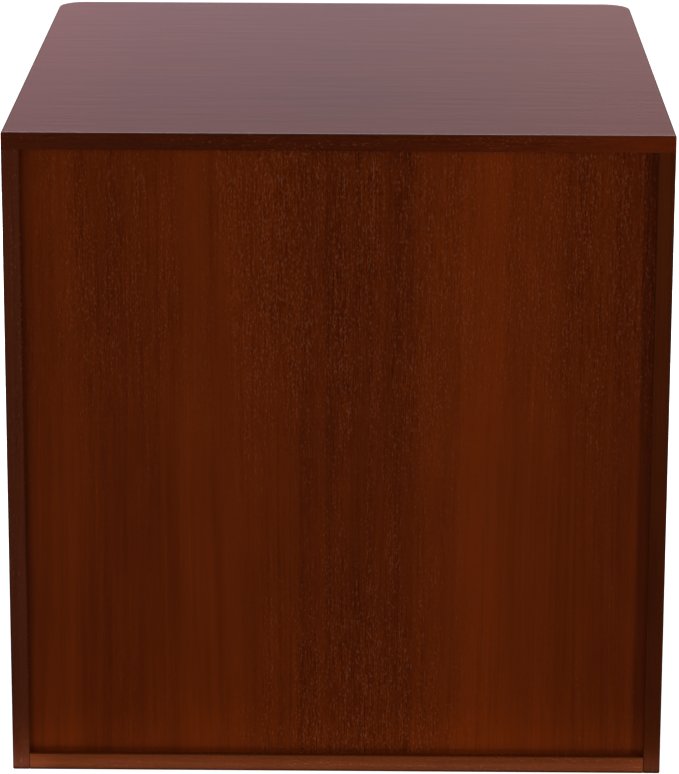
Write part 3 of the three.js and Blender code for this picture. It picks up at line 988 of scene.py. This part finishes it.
def add_pin_shank(bm, place):
    """A pin's shank and collar."""
    collar_end = TOUCH + PIN_COLLAR_LENGTH
    profile = [(0, -PIN_SHANK_LENGTH), (PIN_TIP_RADIUS, -PIN_SHANK_LENGTH)]
    profile += [(PIN_SHANK_RADIUS, PIN_TIP_LENGTH - PIN_SHANK_LENGTH), (PIN_SHANK_RADIUS, TOUCH)]
    profile += [*rounded_rod(PIN_COLLAR_RADIUS, TOUCH, collar_end, PIN_COLLAR_RIM), (0, collar_end)]
    add_turned(bm, profile, PIN_SIDES, place)


def add_pin_rib(bm, place):
    """The rib under a pin's blade."""
    start = TOUCH + PIN_COLLAR_LENGTH / 2
    under = PIN_BLADE_TOP - PIN_BLADE_THICKNESS / 2
    outline = [(under, start), (under, PIN_BLADE_LENGTH - PIN_RIB_SETBACK), (-PIN_SHANK_RADIUS, start)]
    turn = Matrix(((1, 0, 0, 0), (0, 0, 1, 0), (0, 1, 0, 0), (0, 0, 0, 1)))
    add_prism(bm, outline, -PIN_RIB_WIDTH / 2, PIN_RIB_WIDTH / 2, place @ turn)


def soften_edges(piece):
    """Takes the sharpness off a moulded piece's edges."""
    soften = piece.modifiers.new("soften", "BEVEL")
    soften.limit_method = "ANGLE"
    soften.angle_limit = math.radians(50)
    soften.width = PIN_SOFTENING
    soften.segments = 2
    settle(piece)


def make_pin(hand, end, material):
    """A shelf pin: a shank in the side, a collar, and a blade with a rib under it that carries the shelf.
    The side's face is at height 0, the shank goes down from there, and X is up in the cube."""
    name = f"shelf_pin_{hand}_{end}"
    low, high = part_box(name)
    mouth = Vector((inner_face(hand), (low.y + high.y) / 2, (low.z + high.z) / 2))
    place = facing(mouth, (-HANDS[hand], 0, 0), (0, 0, 1))

    shank = bmesh.new()
    add_pin_shank(shank, place)
    piece = mesh_object(name + "_part", shank)

    blade = bmesh.new()
    blade_turn = Matrix(((0, 0, 1, 0), (1, 0, 0, 0), (0, 1, 0, 0), (0, 0, 0, 1)))
    blade_low = PIN_BLADE_TOP - PIN_BLADE_THICKNESS
    add_prism(blade, blade_outline(), blade_low, PIN_BLADE_TOP, place @ blade_turn)
    combine(piece, blade, "UNION")

    rib = bmesh.new()
    add_pin_rib(rib, place)
    combine(piece, rib, "UNION")
    soften_edges(piece)
    finish_piece(piece, material, "carcass", name)


# The room: floor, world, lights and camera

def make_floor():
    """A pale floor that glows a little to the camera, so that it blends into the white room."""
    bm = bmesh.new()
    bmesh.ops.create_circle(bm, cap_ends=True, segments=96, radius=FLOOR_RADIUS)
    floor = mesh_object("studio_floor", bm)
    shader = Shader(bpy.data.materials.new("floor_paint"))
    place = shader.places("Object")
    mottle = shader.noise(shader.vector("MULTIPLY", place, (3, 3, 3)), 3.0)
    colour = shader.mix(mottle, FLOOR_DARK, FLOOR_LIGHT)
    paint = shader.node("ShaderNodeBsdfDiffuse", {"Color": colour})
    glow = shader.node("ShaderNodeEmission", {"Strength": FLOOR_GLOW})
    seen = shader.node("ShaderNodeLightPath", {}).outputs["Is Camera Ray"]
    both = shader.node("ShaderNodeAddShader", {0: paint.outputs[0], 1: glow.outputs[0]})
    chosen = shader.node("ShaderNodeMixShader", {0: seen, 1: paint.outputs[0], 2: both.outputs[0]})
    shader.node("ShaderNodeOutputMaterial", {"Surface": chosen.outputs[0]})
    floor.data.materials.append(shader.owner)
    floor.visible_glossy = False


def make_world():
    """White to the camera. As a light it is a pale studio wall on the front side, bright near the floor,
    a dim ceiling, and dark on the other sides."""
    world = bpy.data.worlds.new("studio")
    bpy.context.scene.world = world
    shader = Shader(world)
    axes = shader.separate(shader.places("Generated"))
    in_front = shader.rise(axes[1], -0.50, -0.90)
    wall = shader.mix(shader.rise(axes[0], -0.2, 0.2), WALL_LEFT, WALL_RIGHT)
    off_middle = shader.rise(shader.math("ABSOLUTE", axes[0]), 0.10, 0.18)
    wall = shader.mix(off_middle, wall, WALL_SIDES)
    wall = shader.mix(shader.rise(axes[2], 0.0, 0.30), wall, WALL_TOP)
    room = shader.mix(in_front, OTHER_WALLS, wall)
    room = shader.mix(shader.rise(axes[2], 0.45, 0.75), room, CEILING)
    seen = shader.node("ShaderNodeLightPath", {}).outputs["Is Camera Ray"]
    colour = shader.mix(seen, room, (1, 1, 1, 1))
    background = shader.node("ShaderNodeBackground", {"Color": colour, "Strength": 1.0})
    shader.node("ShaderNodeOutputWorld", {"Surface": background.outputs[0]})


def add_light(name, place, target, width, height, watts, mirrored=False):
    """A soft box that the camera doesn't see. Gloss shows it only if it is mirrored."""
    lamp = bpy.data.lights.new(name, "AREA")
    lamp.shape = "RECTANGLE"
    lamp.size = width
    lamp.size_y = height
    lamp.energy = watts
    light = bpy.data.objects.new(name, lamp)
    light.location = place
    light.rotation_euler = (Vector(target) - Vector(place)).to_track_quat("-Z", "Y").to_euler()
    light.visible_camera = False
    light.visible_glossy = mirrored
    bpy.context.scene.collection.objects.link(light)


def make_lights():
    low, high = CAD_BOX
    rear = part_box("back_panel")[1]
    middle = Vector((0, rear.y, high.z / 2))

    def beside(angle, distance, height):
        """A place at that angle, in degrees, from straight behind the back panel."""
        turn = math.radians(angle)
        return Vector((0, rear.y, height)) + distance * Vector((math.sin(turn), math.cos(turn), 0))

    add_light("key", beside(-62, 3.0, 0.7), middle, width=0.50, height=1.4, watts=34)
    add_light("fill", beside(48, 2.0, 0.6), middle, width=1.5, height=1.2, watts=13)
    add_light("overhead", (0, -1.1, 2.0), (0, -0.3, 0), width=1.8, height=1.4, watts=28, mirrored=True)

    # Below the level of the top, so that it lights the inside only
    add_light("front", (0.25, -1.6, 0.24), (0, 0, 0.24), width=1.2, height=0.4, watts=9)

    # The floor is brightest close to the foot, and most of all at the corners
    foot = Vector((0, high.y + 9 * MM, 1 * MM))
    strips = (
        ("foot", 0, high.x * 2.4, 0.057),
        ("left_foot", low.x, 50 * MM, 0.0015),
        ("right_foot", high.x, 50 * MM, 0.0035),
    )
    for name, x, length, watts in strips:
        place = foot + Vector((x, 0, 0))
        add_light(name, place, place + Vector((0, 0, 1)), width=length, height=15 * MM, watts=watts)


def make_camera():
    lens = bpy.data.cameras.new("camera")
    lens.lens = CAMERA_LENS
    lens.shift_y = CAMERA_SHIFT_UP
    camera = bpy.data.objects.new("camera", lens)
    turn = Matrix.Rotation(math.pi + CAMERA_YAW, 4, "Z")
    tilt = Matrix.Rotation(math.pi / 2 - CAMERA_PITCH, 4, "X")
    roll = Matrix.Rotation(-CAMERA_ROLL, 4, "Z")
    camera.matrix_world = Matrix.Translation(CAMERA_PLACE) @ turn @ tilt @ roll
    bpy.context.scene.collection.objects.link(camera)
    bpy.context.scene.camera = camera
    bpy.context.scene.view_settings.view_transform = "Standard"


def make_boards():
    make_top()
    make_bottom()
    for hand in HANDS:
        make_side(hand)
    make_back()
    make_shelf()


def make_fittings():
    wooden = beech("dowel_beech")
    zinc = metal("cam_zinc", (0.30, 0.30, 0.31), (0.46, 0.46, 0.47), 0.38, 0.52, 0.05 * MM)
    steel = metal("bolt_steel", (0.52, 0.50, 0.44), (0.68, 0.66, 0.60), 0.22, 0.38, 0.01 * MM)
    nickel = metal("pin_nickel", (0.58, 0.56, 0.52), (0.72, 0.70, 0.66), 0.18, 0.32, 0.01 * MM)
    for hand in HANDS:
        for end in ENDS:
            make_pin(hand, end, nickel)
            for level in JOINT_AXES:
                make_cam(hand, end, level, zinc)
                make_bolt(hand, end, level, steel)
                make_dowel(hand, end, level, wooden)


make_camera()
make_world()
make_floor()
make_lights()
make_boards()
make_fittings()
